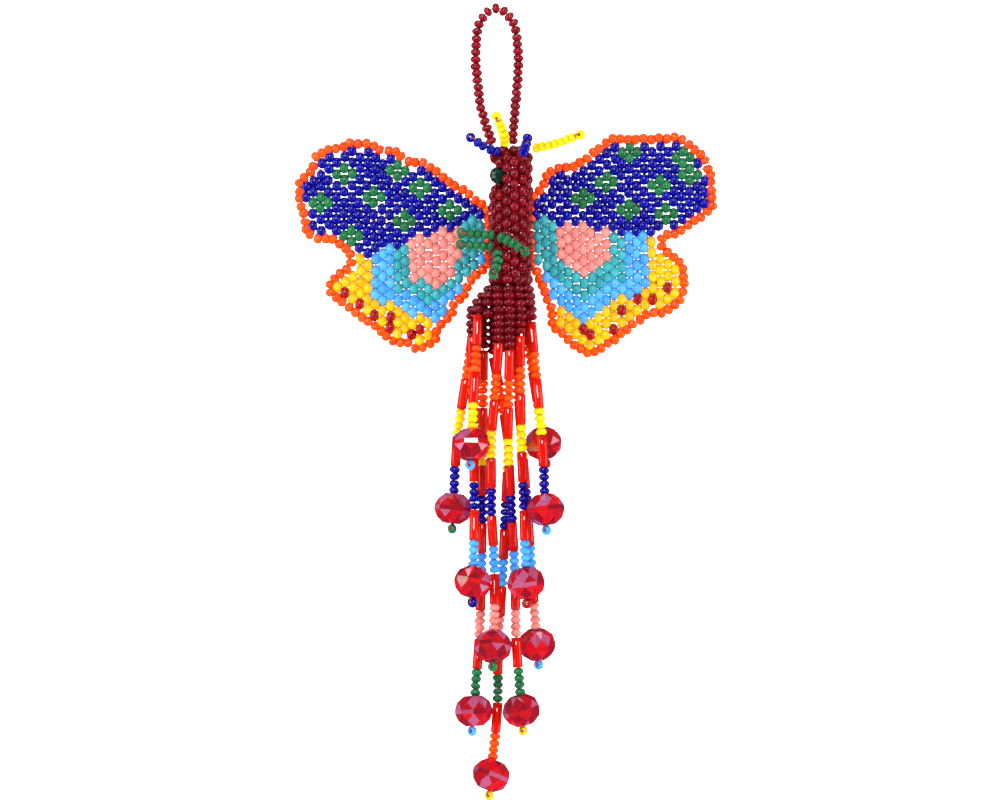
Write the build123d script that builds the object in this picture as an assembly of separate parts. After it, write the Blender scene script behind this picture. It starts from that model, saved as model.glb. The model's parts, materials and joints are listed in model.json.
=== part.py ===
from build123d import *
import math
import os

# A hanging butterfly ornament of woven glass beads. Millimetres, +Z up, the viewer of its front stands
# at -Y. The origin is the point inside the top of the hanging loop where a nail or hook carries it.

# ---- beads -------------------------------------------------------------------------------------------
SEED_DIAMETER = 2.1
SEED_LENGTH = 1.36
SEED_END_DIAMETER = 1.3
SEED_FLANK = 0.64
SEED_HOLE = 0.8
BUGLE_DIAMETER = 2.0
BUGLE_LENGTH = 6.15
CRYSTAL_DIAMETER = 7.8
CRYSTAL_LENGTH = 6.1
CRYSTAL_TABLE = 3.8
CRYSTAL_GIRDLE = 1.6
CRYSTAL_CROWN_RADIUS = 3.12
CRYSTAL_CROWN_HEIGHT = 2.0
EYE_DIAMETER = 3.9
BEAD_GAP = 0.04
BEND_ROOM = 0.6
THREAD = 0.15
CORE_THREAD = 0.3

# ---- body tube ---------------------------------------------------------------------------------------
BODY_X = 2.75
BODY_COLUMNS = 14
BODY_ROWS = 11
BODY_RING_RADIUS = 3.42
BODY_ROW_PITCH = 2.24
BODY_TOP_Z = -29.2
CROWN_RADIUS = 1.75
CROWN_BEADS = 5
CROWN_Z = -27.9
EYE_Z = -32.8
EYE_RADIUS_FROM_AXIS = 2.47
EYE_TURNS = (-79, 150)

# ---- abdomen: rows of upright beads that widen from the tube to the hem, then a pointed hem ----------
ABDOMEN_TOP_Z = -54.5
ABDOMEN_ROW_PITCH = 1.42
ABDOMEN_ROWS = (10, 11, 12, 13)
HEM_COLUMNS = 14
HEM_X = 0.9
HEM_HALF_WIDTH = 6.1
HEM_HALF_DEPTH = 3.6
# Part of a step the rings are turned by, so that the beads at the back cover the gaps at the front.
HEM_TURN = 0.25
# Columns of the hem that no strand hangs from, with how many beads each reaches down below its first.
HEM_FILL = {2: 0, 6: 0, 10: 5}

# ---- hanging loop ------------------------------------------------------------------------------------
LOOP_POINTS = [
    (-1.0, -26.4), (-3.4, -19.0), (-4.5, -9.0), (-3.9, -1.1), (0.0, 2.2),
    (3.7, -1.5), (4.5, -9.5), (3.6, -20.0), (3.1, -26.4),
]
LOOP_RADII = [20, 26, 6.0, 2.4, 6.0, 26, 20]
LOOP_STEPS = 120
LOOP_PIVOT_Z = -27.0

# ---- wings, measured outboard from each wing's axis and down from the origin --------------------------
COLUMN_PITCH = 1.56
ROW_PITCH = 2.32
WING_Y = 4.3
WING_FIRST_COLUMN = 4.5
# The part of the lattice, in columns and rows, that is searched for beads of a wing.
WING_COLUMNS = 30
WING_ROWS = (9, 32)
# How many columns may be missing from a row before its thread is split there.
COLUMNS_TO_SPLIT = 2.5
WING_HINGE_OUT = 3.9
LEFT_WING = dict(
    axis_x=2.8,
    outline=[
        (4.2, -37.0), (7.5, -35.6), (8.1, -33.8), (20.5, -27.8), (31.2, -24.6), (38.3, -26.8),
        (43.9, -32.2), (43.9, -37.0), (42.4, -45.2), (32.3, -49.6), (37.2, -52.6), (37.9, -58.8),
        (29.9, -63.9), (28.3, -66.0), (19.1, -69.2), (12.7, -64.0), (8.1, -55.0), (4.2, -50.8),
    ],
    divide=[(6.3, -41.2), (14.6, -43.6), (30.8, -49.4)],
    flowers=[
        (33.8, -32.0), (23.6, -30.6), (17.9, -35.7), (38.1, -38.6),
        (27.7, -37.8), (22.0, -42.2), (31.8, -44.1), (12.6, -40.0),
    ],
    dots=[
        (33.8, -56.9), (30.8, -58.6), (28.1, -60.6), (25.1, -61.4),
        (23.8, -63.7), (20.8, -64.3), (17.9, -63.7),
    ],
    vertex=15.4, slope_out=0.33, slope_in=0.95,
    pink=(10.1, 20.9, -55.2), turquoise=(24.1, -58.7), light_blue=(28.7, -62.0),
)
RIGHT_WING = dict(
    axis_x=2.3,
    outline=[
        (4.0, -35.8), (6.6, -34.4), (7.2, -32.2), (19.9, -24.6), (25.0, -23.2), (33.6, -23.3),
        (37.2, -25.5), (41.4, -30.0), (42.7, -35.0), (41.8, -42.2), (31.6, -46.6), (36.2, -51.0),
        (36.0, -59.2), (26.6, -64.0), (26.0, -65.8), (15.4, -71.0), (8.0, -64.2), (8.6, -59.6),
        (5.8, -55.2), (4.0, -51.6),
    ],
    divide=[(5.0, -41.2), (18.0, -43.2), (31.0, -45.5)],
    flowers=[
        (25.2, -28.6), (20.3, -33.5), (31.0, -35.5), (15.4, -38.2),
        (25.2, -39.4), (31.8, -41.0), (35.9, -29.2), (37.0, -31.4),
    ],
    dots=[
        (14.8, -64.5), (18.1, -64.9), (21.6, -62.9), (23.2, -60.2),
        (26.1, -58.8), (29.3, -57.3), (32.6, -56.3),
    ],
    vertex=14.2, slope_out=0.5, slope_in=0.84,
    pink=(9.4, 20.6, -53.6), turquoise=(23.6, -58.0), light_blue=(28.2, -62.4),
)

# ---- antennae and legs: root, middle and tip of each stalk, and how many beads it has -----------------
STALKS = dict(
    antenna_blue_left=([(0.6, -3.6, -28.3), (-2.2, -4.3, -27.5), (-4.9, -5.0, -25.7)], 4),
    antenna_yellow_centre=([(1.7, -1.8, -26.7), (1.3, -4.6, -24.5), (0.2, -7.0, -22.0)], 5),
    antenna_blue_right=([(5.2, -4.2, -28.6), (5.6, -6.0, -27.8), (6.0, -7.8, -26.4)], 3),
    antenna_yellow_right=([(7.4, -1.2, -27.4), (11.8, -3.2, -26.6), (16.0, -5.6, -25.2)], 7),
    leg_upper_left=([(-0.6, -4.1, -45.2), (-4.0, -4.9, -45.0), (-7.3, -5.4, -44.8)], 4),
    leg_lower_left=([(-0.8, -4.3, -47.5), (-4.2, -5.0, -47.3), (-7.3, -5.5, -47.1)], 4),
    leg_upper_right=([(0.3, -5.4, -45.4), (3.0, -6.8, -46.7), (5.3, -7.8, -48.4)], 4),
    leg_lower_right=([(0.0, -5.5, -48.4), (0.4, -6.6, -50.2), (-0.5, -7.4, -52.6)], 3),
)

# ---- fringe ------------------------------------------------------------------------------------------
# Height of the crystal that ends each tier of the fringe.
TIER_Z = (-86.9, -100.5, -115.3, -128.8, -142.4, -155.3)
SEEDS_PER_GROUP = 4
STRAND_DROP = 0.45
STOPPER_AXIS = (0.5, 1, 0)
# The hem's columns count from its left end round past the front. For each strand: its column, how many
# beads that column reaches down below its first, and where the strand passes, (x, y), at the height of
# each tier down to its own crystal.
STRANDS = dict(
    a=(13, 1, [(-8.3, 3.9), (-9.0, 4.4)]),
    b=(1, 0, [(-5.2, -6.1)]),
    d=(3, 4, [(-1.2, -1.6), (-1.2, 0.3), (-0.4, 1.3), (-0.8, -2.1)]),
    g=(4, 5, [(2.2, -2.1), (2.9, 0.8), (3.7, 3.8), (3.9, 0.8), (5.0, 0.3)]),
    h=(5, 3, [(4.9, -1.8), (5.5, -0.3), (5.9, -2.6)]),
    j=(7, 1, [(9.2, -3.9), (9.8, -4.2)]),
    k=(8, 0, [(9.4, 5.2)]),
    i=(9, 4, [(5.0, 1.6), (6.2, 2.6), (7.2, 4.6), (8.2, 5.3)]),
    f=(11, 6, [(2.4, 3.4), (1.8, 4.2), (1.1, 4.4), (0.2, 4.8), (0.15, 3.8), (-1.2, 1.3)]),
    e=(12, 5, [(-2.9, 2.9), (-3.1, 3.9), (-3.2, 4.5), (-3.7, 3.9), (-4.8, 0.3)]),
    c=(0, 3, [(-4.8, 1.0), (-4.6, 0.8), (-4.9, -2.5)]),
)


def turned(*outline):
    """A bead on the Z axis, turned from the half outline (radius, height) of its upper half."""
    lower = [(radius, -height) for radius, height in reversed(outline)]
    with BuildSketch(Plane.XZ) as profile:
        with BuildLine():
            Polyline(*outline, *lower, close=True)
        make_face()
    return revolve(profile.sketch, Axis.Z).solid()


def seed_bead():
    """A seed bead: a short barrel with flat ends."""
    half = SEED_LENGTH / 2
    return turned(
        (SEED_HOLE / 2, half), (SEED_END_DIAMETER / 2, half), (SEED_DIAMETER / 2, SEED_FLANK / 2)
    )


def tube_bead():
    """A bugle: a short straight glass tube on the Z axis."""
    return (Cylinder(BUGLE_DIAMETER / 2, BUGLE_LENGTH) - Cylinder(SEED_HOLE / 2, BUGLE_LENGTH)).solid()


def crystal_bead():
    """A cut rondelle: a double cone with flat ends, blunt at its girdle."""
    half = CRYSTAL_LENGTH / 2
    return turned(
        (SEED_HOLE / 2, half), (CRYSTAL_TABLE / 2, half), (CRYSTAL_CROWN_RADIUS, CRYSTAL_CROWN_HEIGHT),
        (CRYSTAL_DIAMETER / 2, CRYSTAL_GIRDLE / 2),
    )


SEED = seed_bead()
BUGLE = tube_bead()
CRYSTAL = crystal_bead()


def placed(bead, centre, direction):
    """A copy of a bead with its middle at centre and its hole along direction."""
    direction = Vector(*direction)
    across = Vector(0, 1, 0) if abs(direction.normalized().Y) < 0.9 else Vector(1, 0, 0)
    return Plane(origin=centre, x_dir=across.cross(direction), z_dir=direction).location * bead


def along(points, distance):
    """The point a given distance along straight runs; past the end, the last run goes on."""
    for start, end in zip(points, points[1:]):
        run = Vector(*end) - Vector(*start)
        if distance <= run.length or end is points[-1]:
            return Vector(*start) + run.normalized() * distance
        distance -= run.length


class String:
    """Beads strung one after another on straight runs, parted where a bend would press their edges."""

    def __init__(self, points):
        self.points = points
        self.reach = 0.0
        self.last_run = None
        self.beads = []

    def span(self, length):
        first = along(self.points, self.reach)
        return first, along(self.points, self.reach + length)

    def add(self, bead, length, end_diameter):
        first, last = self.span(length)
        if self.last_run is not None:
            turn = math.radians(self.last_run.get_angle(last - first))
            self.reach += turn * end_diameter * BEND_ROOM
            first, last = self.span(length)
        self.last_run = last - first
        self.reach += length + BEAD_GAP
        self.beads.append(placed(bead, (first + last) / 2, self.last_run))

    def add_seed(self):
        self.add(SEED, SEED_LENGTH, SEED_END_DIAMETER)


def thread_through(points, diameter):
    """A round thread along straight runs, each run a solid that just clears the next."""
    runs = []
    for start, end in zip(points, points[1:]):
        run = Vector(*end) - Vector(*start)
        piece = Cylinder(diameter / 2, run.length - 2 * BEAD_GAP).solid()
        runs.append(placed(piece, (Vector(*start) + Vector(*end)) / 2, run))
    return runs


def evenly_round(count, half_width, half_depth, turn):
    """Points evenly spaced round an ellipse, from the left end past the front, turned by part of a step."""
    steps = 720
    fine = [math.pi + 2 * math.pi * k / steps for k in range(steps + 1)]
    ring = [(half_width * math.cos(a), half_depth * math.sin(a)) for a in fine]
    reach = [0.0]
    for before, after in zip(ring, ring[1:]):
        reach.append(reach[-1] + math.dist(before, after))
    spots = []
    for k in range(count):
        wanted = reach[-1] * ((k + turn) % count) / count
        nearest = min(range(steps), key=lambda n: abs(reach[n] - wanted))
        spots.append(ring[nearest])
    return spots


# ---- hanging loop ------------------------------------------------------------------------------------
def hanging_loop():
    """The loop's beads and the thread through them."""
    path = FilletPolyline(*[(x, 0, z) for x, z in LOOP_POINTS], radius=LOOP_RADII)
    string = String([tuple(path @ (k / LOOP_STEPS)) for k in range(LOOP_STEPS + 1)])
    while string.reach + SEED_LENGTH < path.length:
        string.add_seed()
    section = Plane(origin=path @ 0, z_dir=path % 0) * Circle(CORE_THREAD / 2)
    return string.beads, [sweep(section, path=path).solid()]


# ---- body --------------------------------------------------------------------------------------------
def eye_centres():
    spots = []
    for turn in EYE_TURNS:
        angle = math.radians(turn)
        x = BODY_X + EYE_RADIUS_FROM_AXIS * math.sin(angle)
        spots.append(Vector(x, -EYE_RADIUS_FROM_AXIS * math.cos(angle), EYE_Z))
    return spots


def ring_bead(radius, angle, z):
    """A seed bead lying round the body's axis."""
    centre = Vector(BODY_X + radius * math.cos(angle), radius * math.sin(angle), z)
    return centre, placed(SEED, centre, (-math.sin(angle), math.cos(angle), 0))


def body_tube():
    """Columns of beads round the tube, every other column half a bead lower, with the eyes left free."""
    beads = []
    clear = (EYE_DIAMETER + SEED_DIAMETER) / 2
    for column in range(BODY_COLUMNS):
        angle = 2 * math.pi * column / BODY_COLUMNS
        for row in range(BODY_ROWS):
            z = BODY_TOP_Z - BODY_ROW_PITCH * (row + (column % 2) / 2)
            centre, bead = ring_bead(BODY_RING_RADIUS, angle, z)
            if all((centre - eye).length > clear for eye in eye_centres()):
                beads.append(bead)
    for k in range(CROWN_BEADS):
        beads.append(ring_bead(CROWN_RADIUS, 2 * math.pi * k / CROWN_BEADS, CROWN_Z)[1])
    return beads


def body_threads():
    """The rings of thread that run through the tube's rows of beads."""
    rings = []
    for half_row in range(2 * BODY_ROWS):
        z = BODY_TOP_Z - BODY_ROW_PITCH * half_row / 2
        if abs(z - EYE_Z) > (EYE_DIAMETER + THREAD) / 2:
            rings.append(Location((BODY_X, 0, z)) * Torus(BODY_RING_RADIUS, THREAD / 2).solid())
    return rings


def eyes():
    return [Location(centre) * Sphere(EYE_DIAMETER / 2).solid() for centre in eye_centres()]


# ---- abdomen and hem ---------------------------------------------------------------------------------
def hem_spots():
    """The hem's columns, going round it."""
    ring = evenly_round(HEM_COLUMNS, HEM_HALF_WIDTH, HEM_HALF_DEPTH, HEM_TURN)
    return [(HEM_X + x, y) for x, y in ring]


def hem_columns():
    """Each hem column's (x, y), its first bead's row and its last bead's row, in rows from the tube."""
    first = len(ABDOMEN_ROWS)
    spots = hem_spots()
    columns = [(spots[column], first, first + tail) for column, tail, _ in STRANDS.values()]
    columns += [(spots[column], first + 0.5, first + 0.5 + tail) for column, tail in HEM_FILL.items()]
    return columns


def hem_row_z(row):
    return ABDOMEN_TOP_Z - ABDOMEN_ROW_PITCH * row


def abdomen():
    beads = []
    last = len(ABDOMEN_ROWS)
    for row, count in enumerate(ABDOMEN_ROWS):
        share = row / last
        middle = BODY_X + (HEM_X - BODY_X) * share
        half_width = BODY_RING_RADIUS + (HEM_HALF_WIDTH - BODY_RING_RADIUS) * share
        half_depth = BODY_RING_RADIUS + (HEM_HALF_DEPTH - BODY_RING_RADIUS) * share
        for x, y in evenly_round(count, half_width, half_depth, HEM_TURN + 0.5 * (row % 2)):
            beads.append(placed(SEED, (middle + x, y, hem_row_z(row)), (0, 0, 1)))
    for (x, y), first, bottom in hem_columns():
        for k in range(int(bottom - first) + 1):
            beads.append(placed(SEED, (x, y, hem_row_z(first + k)), (0, 0, 1)))
    return beads


def hem_threads():
    """The upright threads that carry the strands through the hem's beads."""
    threads = []
    for (x, y), first, last in hem_columns():
        top = hem_row_z(first) + SEED_LENGTH / 2
        bottom = hem_row_z(last) - SEED_LENGTH / 2
        middle = Location((x, y, (top + bottom) / 2))
        threads.append(middle * Cylinder(CORE_THREAD / 2, top - bottom).solid())
    return threads


# ---- wings -------------------------------------------------------------------------------------------
def inside(u, z, outline):
    """Whether a point lies inside a closed outline."""
    found = False
    for (u1, z1), (u2, z2) in zip(outline, outline[1:] + outline[:1]):
        if (z1 > z) != (z2 > z) and u < u1 + (u2 - u1) * (z - z1) / (z2 - z1):
            found = not found
    return found


def lattice(column, row):
    """The middle of a bead: upright columns, every other one half a bead lower."""
    return WING_FIRST_COLUMN + COLUMN_PITCH * column, -ROW_PITCH * (row + (column % 2) / 2)


def neighbours(column, row):
    """The six beads round a bead."""
    low = row if column % 2 else row - 1
    return [(column, row - 1), (column, row + 1)] + [
        (column + side, low + step) for side in (-1, 1) for step in (0, 1)
    ]


def nearest_bead(cells, u, z):
    return min(cells, key=lambda cell: math.dist(lattice(*cell), (u, z)))


def flower(u, z):
    """The four beads round the gap nearest to a point."""
    column = round((u - WING_FIRST_COLUMN) / COLUMN_PITCH)
    half = (column % 2) / 2
    row = round(-z / ROW_PITCH - half - 0.5)
    side_row = row if column % 2 == 0 else row + 1
    return {(column, row), (column, row + 1), (column - 1, side_row), (column + 1, side_row)}


def above_divide(u, z, divide):
    """Whether a point is over the line between the fore wing and the hind wing."""
    runs = list(zip(divide, divide[1:]))
    (u1, z1), (u2, z2) = next((run for run in runs if u < run[1][0]), runs[-1])
    return z > z1 + (z2 - z1) * (u - u1) / (u2 - u1)


def band_colour(u, z, wing):
    """The colour of a bead of the hind wing, in nested bands that come to a point."""
    slope = wing["slope_out"] if u > wing["vertex"] else wing["slope_in"]
    raised = z - slope * abs(u - wing["vertex"])
    low, high, floor = wing["pink"]
    if low < u < high and raised > floor:
        return "pink_patch"
    for band in ("turquoise", "light_blue"):
        high, floor = wing[band]
        if u < high and raised > floor:
            return band + "_band"
    return "yellow_band"


def wing_cells(wing):
    """Every bead of a wing with its colour group."""
    cells = set()
    for column in range(WING_COLUMNS):
        for row in range(*WING_ROWS):
            if inside(*lattice(column, row), wing["outline"]):
                cells.add((column, row))
    green = set().union(*[flower(*spot) for spot in wing["flowers"]])
    groups = {}
    for cell in sorted(cells):
        u, z = lattice(*cell)
        if any(other not in cells for other in neighbours(*cell)):
            groups[cell] = "orange_edge"
        elif above_divide(u, z, wing["divide"]):
            groups[cell] = "green_flowers" if cell in green else "navy_field"
        else:
            groups[cell] = band_colour(u, z, wing)
    field = [cell for cell, group in groups.items() if group == "yellow_band"]
    for spot in wing["dots"]:
        groups[nearest_bead(field, *spot)] = "red_dots"
    return groups


def wing_beads(wing, side):
    """A wing's beads by colour, and its straight passes of thread. side is -1 at left and 1 at right."""
    groups = wing_cells(wing)
    beads = {}
    rows = {}
    for cell, group in groups.items():
        u, z = lattice(*cell)
        centre = (wing["axis_x"] + side * u, WING_Y, z)
        beads.setdefault(group, []).append(placed(SEED, centre, (1, 0, 0)))
        rows.setdefault(round(z, 3), []).append(u)
    threads = []
    for z, spots in rows.items():
        for run in unbroken(sorted(spots)):
            length = run[-1] - run[0] + SEED_LENGTH
            middle = (wing["axis_x"] + side * (run[0] + run[-1]) / 2, WING_Y, z)
            threads.append(placed(Cylinder(THREAD / 2, length).solid(), middle, (1, 0, 0)))
    return beads, threads


def unbroken(spots):
    """Splits a row of beads where the outline leaves a gap in it."""
    runs = [[spots[0]]]
    for spot in spots[1:]:
        if spot - runs[-1][-1] > COLUMNS_TO_SPLIT * COLUMN_PITCH:
            runs.append([])
        runs[-1].append(spot)
    return runs


# ---- antennae and legs -------------------------------------------------------------------------------
def stalk(points, count):
    """Beads strung on a thread that ends round a bead with its hole across the stalk."""
    string = String(points)
    for _ in range(count):
        string.add_seed()
    end = along(points, string.reach - BEAD_GAP)
    tip = along(points, string.reach + SEED_DIAMETER / 2)
    direction = tip - end
    across = direction.cross(Vector(1, 0, 0) if abs(direction.X) < abs(direction.Z) else Vector(0, 0, 1))
    bends = [point for point in points[1:-1] if math.dist(point, points[0]) < string.reach]
    thread = thread_through([points[0]] + bends + [end], CORE_THREAD)
    return string.beads + [placed(SEED, tip, across)] + thread


# ---- fringe ------------------------------------------------------------------------------------------
def strand_top(name):
    """Where a strand starts, just under the last bead of its column."""
    column, tail, _ = STRANDS[name]
    x, y = hem_spots()[column]
    return x, y, hem_row_z(len(ABDOMEN_ROWS) + tail) - SEED_LENGTH / 2 - STRAND_DROP


def strand(name):
    """A strand from the hem to its crystal: bugles and groups of seeds, one pair for each step."""
    passes = STRANDS[name][2]
    route = [strand_top(name)]
    route += [(x, y, z) for (x, y), z in zip(passes, TIER_Z)]
    string = String(route)
    for _ in range(len(passes) + 1):
        string.add(BUGLE, BUGLE_LENGTH, BUGLE_DIAMETER)
        for _ in range(SEEDS_PER_GROUP):
            string.add_seed()
    string.add(CRYSTAL, CRYSTAL_LENGTH, SEED_END_DIAMETER)
    crystal = string.beads.pop()
    stopper = placed(SEED, along(route, string.reach + SEED_DIAMETER / 2 + BEAD_GAP), STOPPER_AXIS)
    bottom = string.reach - BEAD_GAP
    bends = [point for point in route[1:] if math.dist(point, route[0]) < bottom - CRYSTAL_LENGTH / 2]
    thread = thread_through([route[0]] + bends + [along(route, bottom)], CORE_THREAD)
    return string.beads + thread, [crystal, stopper]


def write(name, solids):
    export_step(Compound(solids), f"parts/{name}.step")


def main():
    os.makedirs("parts", exist_ok=True)
    beads, threads = hanging_loop()
    write("hanging_loop_beads", beads)
    write("hanging_loop_thread", threads)
    write("body_beads", body_tube())
    write("body_thread", body_threads())
    write("eyes", eyes())
    write("abdomen_beads", abdomen())
    write("abdomen_thread", hem_threads())
    for name, wing, side in (("left_wing", LEFT_WING, -1), ("right_wing", RIGHT_WING, 1)):
        groups, threads = wing_beads(wing, side)
        for group, beads in groups.items():
            write(f"{name}_{group}", beads)
        write(f"{name}_thread", threads)
    for name, (points, count) in STALKS.items():
        write(name, stalk(points, count))
    for number, name in enumerate(STRANDS, start=1):
        beads, drop = strand(name)
        write(f"fringe_strand_{number:02d}_beads", beads)
        write(f"fringe_strand_{number:02d}_drop", drop)


if __name__ == "__main__":
    main()
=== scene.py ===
import json
import math

import bpy
import numpy as np
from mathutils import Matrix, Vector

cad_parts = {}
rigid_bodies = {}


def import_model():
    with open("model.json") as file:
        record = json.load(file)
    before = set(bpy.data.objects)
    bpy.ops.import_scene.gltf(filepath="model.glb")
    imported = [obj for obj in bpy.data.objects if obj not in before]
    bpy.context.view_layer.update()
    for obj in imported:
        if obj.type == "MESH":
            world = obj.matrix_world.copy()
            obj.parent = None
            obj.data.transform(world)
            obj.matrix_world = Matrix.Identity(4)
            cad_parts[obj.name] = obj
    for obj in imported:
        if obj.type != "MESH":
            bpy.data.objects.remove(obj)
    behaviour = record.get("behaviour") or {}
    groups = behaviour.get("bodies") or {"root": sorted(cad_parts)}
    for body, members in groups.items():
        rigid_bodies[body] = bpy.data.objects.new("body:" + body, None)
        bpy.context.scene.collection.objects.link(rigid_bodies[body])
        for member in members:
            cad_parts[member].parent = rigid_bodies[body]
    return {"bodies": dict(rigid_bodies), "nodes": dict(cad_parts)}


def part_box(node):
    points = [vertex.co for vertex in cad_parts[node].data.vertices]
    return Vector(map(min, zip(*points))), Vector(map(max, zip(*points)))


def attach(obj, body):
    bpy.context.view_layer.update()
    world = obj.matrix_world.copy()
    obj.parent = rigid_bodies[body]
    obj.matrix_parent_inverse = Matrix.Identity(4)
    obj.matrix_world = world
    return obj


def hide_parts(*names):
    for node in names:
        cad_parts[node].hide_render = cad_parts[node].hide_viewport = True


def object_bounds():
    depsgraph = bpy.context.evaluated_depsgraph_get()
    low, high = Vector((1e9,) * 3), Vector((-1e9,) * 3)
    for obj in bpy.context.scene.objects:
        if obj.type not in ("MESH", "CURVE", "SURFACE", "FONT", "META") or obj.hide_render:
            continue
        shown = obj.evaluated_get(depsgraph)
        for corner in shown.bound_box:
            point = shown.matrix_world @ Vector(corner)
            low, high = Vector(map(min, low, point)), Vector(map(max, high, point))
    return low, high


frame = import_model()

# A hanging butterfly ornament of woven glass beads. Every bead is made here as its own cut or pressed
# piece of glass, in the place and along the hole that its solid has in the frame.

CAD_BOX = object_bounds()
MM = 0.001
RANDOM = np.random.default_rng(11)

# ---- reading beads from the frame ---------------------------------------------------------------------
SAME_POINT = 2e-6
# A solid with a smaller girth than this, its area over its length as a radius, is thread and not a bead.
THREAD_GIRTH = 0.3 * MM


def node_triangles(node):
    """A node's corner positions and triangles, with points that coincide made one."""
    mesh = frame["nodes"][node].data
    mesh.calc_loop_triangles()
    points = np.empty(3 * len(mesh.vertices))
    mesh.vertices.foreach_get("co", points)
    triangles = np.empty(3 * len(mesh.loop_triangles), dtype=np.int64)
    mesh.loop_triangles.foreach_get("vertices", triangles)
    points = points.reshape(-1, 3)
    grid = np.round(points / SAME_POINT).astype(np.int64)
    _, first, same = np.unique(grid, axis=0, return_index=True, return_inverse=True)
    return points[first], same.reshape(-1)[triangles].reshape(-1, 3)


def island_labels(count, triangles):
    """For each point, the number of the loose piece it belongs to."""
    labels = np.arange(count)
    while True:
        least = labels[triangles].min(axis=1)
        before = labels.copy()
        for corner in range(3):
            np.minimum.at(labels, triangles[:, corner], least)
        labels = labels[labels]
        if np.array_equal(labels, before):
            return np.unique(labels, return_inverse=True)[1].reshape(-1)


class Spot:
    """Where one solid of a node is: its middle, the direction of its hole, its length, radius and girth."""

    def __init__(self, middle, axis, length, radius, area):
        self.middle = middle
        self.axis = axis
        self.length = length
        self.radius = radius
        self.girth = area / (2 * math.pi * length)


def spots_of(node):
    """The spots of a node's solids, from the top down."""
    points, triangles = node_triangles(node)
    label = island_labels(len(points), triangles)
    of_triangle = label[triangles[:, 0]]
    corners = points[triangles]
    area = np.linalg.norm(np.cross(corners[:, 1] - corners[:, 0], corners[:, 2] - corners[:, 0]), axis=1) / 2
    centres = corners.mean(axis=1)
    spots = []
    for k in range(label.max() + 1):
        mine = of_triangle == k
        weight = area[mine] / area[mine].sum()
        middle = (centres[mine] * weight[:, None]).sum(axis=0)
        spread = centres[mine] - middle
        values, vectors = np.linalg.eigh((spread * weight[:, None]).T @ spread)
        odd = 0 if values[1] - values[0] > values[2] - values[1] else 2
        axis = vectors[:, odd]
        own = points[label == k] - middle
        reach = own @ axis
        radius = np.linalg.norm(own - np.outer(reach, axis), axis=1).max()
        middle = middle + axis * (reach.max() + reach.min()) / 2
        spots.append(Spot(middle, axis, reach.max() - reach.min(), radius, area[mine].sum()))
    return sorted(spots, key=lambda spot: -spot.middle[2])


def middle_of(node):
    """The middle of a node's box."""
    low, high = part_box(node)
    return (low + high) / 2


def is_thread(spot):
    """Whether a solid is a stretch of thread."""
    return spot.girth < THREAD_GIRTH


# ---- mesh building ------------------------------------------------------------------------------------
def turned(profile, sides):
    """A closed outline of (radius, height) turned round Z: its points and quads."""
    turns = 2 * math.pi * np.arange(sides) / sides
    rows = len(profile)
    radius = profile[:, 0][:, None]
    points = np.stack([
        radius * np.cos(turns), radius * np.sin(turns), np.repeat(profile[:, 1][:, None], sides, axis=1),
    ], axis=2).reshape(-1, 3)
    row, side = np.meshgrid(np.arange(rows), np.arange(sides), indexing="ij")
    after_row = (row + 1) % rows
    after_side = (side + 1) % sides
    quads = np.stack([
        row * sides + side, row * sides + after_side,
        after_row * sides + after_side, after_row * sides + side,
    ], axis=2).reshape(-1, 4)
    return points, quads


def seed_profile(hole):
    """Half outline points of a seed bead of radius 1 and half length 1, closed round the glass."""
    outer = [(1.0, 0.0), (0.97, 0.26), (0.88, 0.51), (0.75, 0.73), (0.62, 0.89), (0.50, 0.98)]
    inner = [(hole + 0.10, 0.97), (hole + 0.02, 0.84), (hole, 0.45)]
    upper = outer + inner
    lower = [(r, -h) for r, h in reversed(upper[1:])]
    return np.array(upper + [(hole, 0.0)] + lower)


SEED_PROFILE = seed_profile(hole=0.32)
SNUG_PROFILE = seed_profile(hole=0.10)
SEED_SIDES = 20
# How much pressed seed beads differ: their width, length, roundness and squareness, as shares.
SEED_SPREAD = 0.022
SEED_LENGTH_SPREAD = SEED_SPREAD * 1.3
SEED_OVAL = 0.012
SEED_SKEW = 0.05


class Beads:
    """Collects many small meshes into one object, with a material and a tone for each bead or facet."""

    def __init__(self, name):
        self.name = name
        self.points = []
        self.faces = []
        self.materials = []
        self.face_material = []
        self.tone = []
        self.face_smooth = []
        self.count = 0

    def add(self, points, faces, material, smooth=True, tone=None):
        """Adds one small mesh; tone is one value for all of it or one for each face, or else random."""
        if material not in self.materials:
            self.materials.append(material)
        tone = RANDOM.random() if tone is None else tone
        self.points.append(points)
        self.faces.extend((np.asarray(face) + self.count).tolist() for face in faces)
        self.face_material.extend([self.materials.index(material)] * len(faces))
        self.face_smooth.extend([smooth] * len(faces))
        self.tone.extend(np.broadcast_to(tone, len(faces)).tolist())
        self.count += len(points)

    def build(self):
        """The object with all that was added."""
        mesh = bpy.data.meshes.new(self.name)
        mesh.from_pydata(np.concatenate(self.points).tolist(), [], self.faces)
        for material in self.materials:
            mesh.materials.append(material)
        mesh.polygons.foreach_set("material_index", self.face_material)
        mesh.polygons.foreach_set("use_smooth", self.face_smooth)
        tone = mesh.attributes.new("bead_tone", "FLOAT", "FACE")
        tone.data.foreach_set("value", self.tone)
        mesh.update()
        piece = bpy.data.objects.new(self.name, mesh)
        bpy.context.scene.collection.objects.link(piece)
        return piece


def unit(vector):
    """A vector scaled to a length of one."""
    return vector / np.linalg.norm(vector)


# An axis with more of Z than this takes its side from Y.
MOST_UPRIGHT = 0.9


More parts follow.
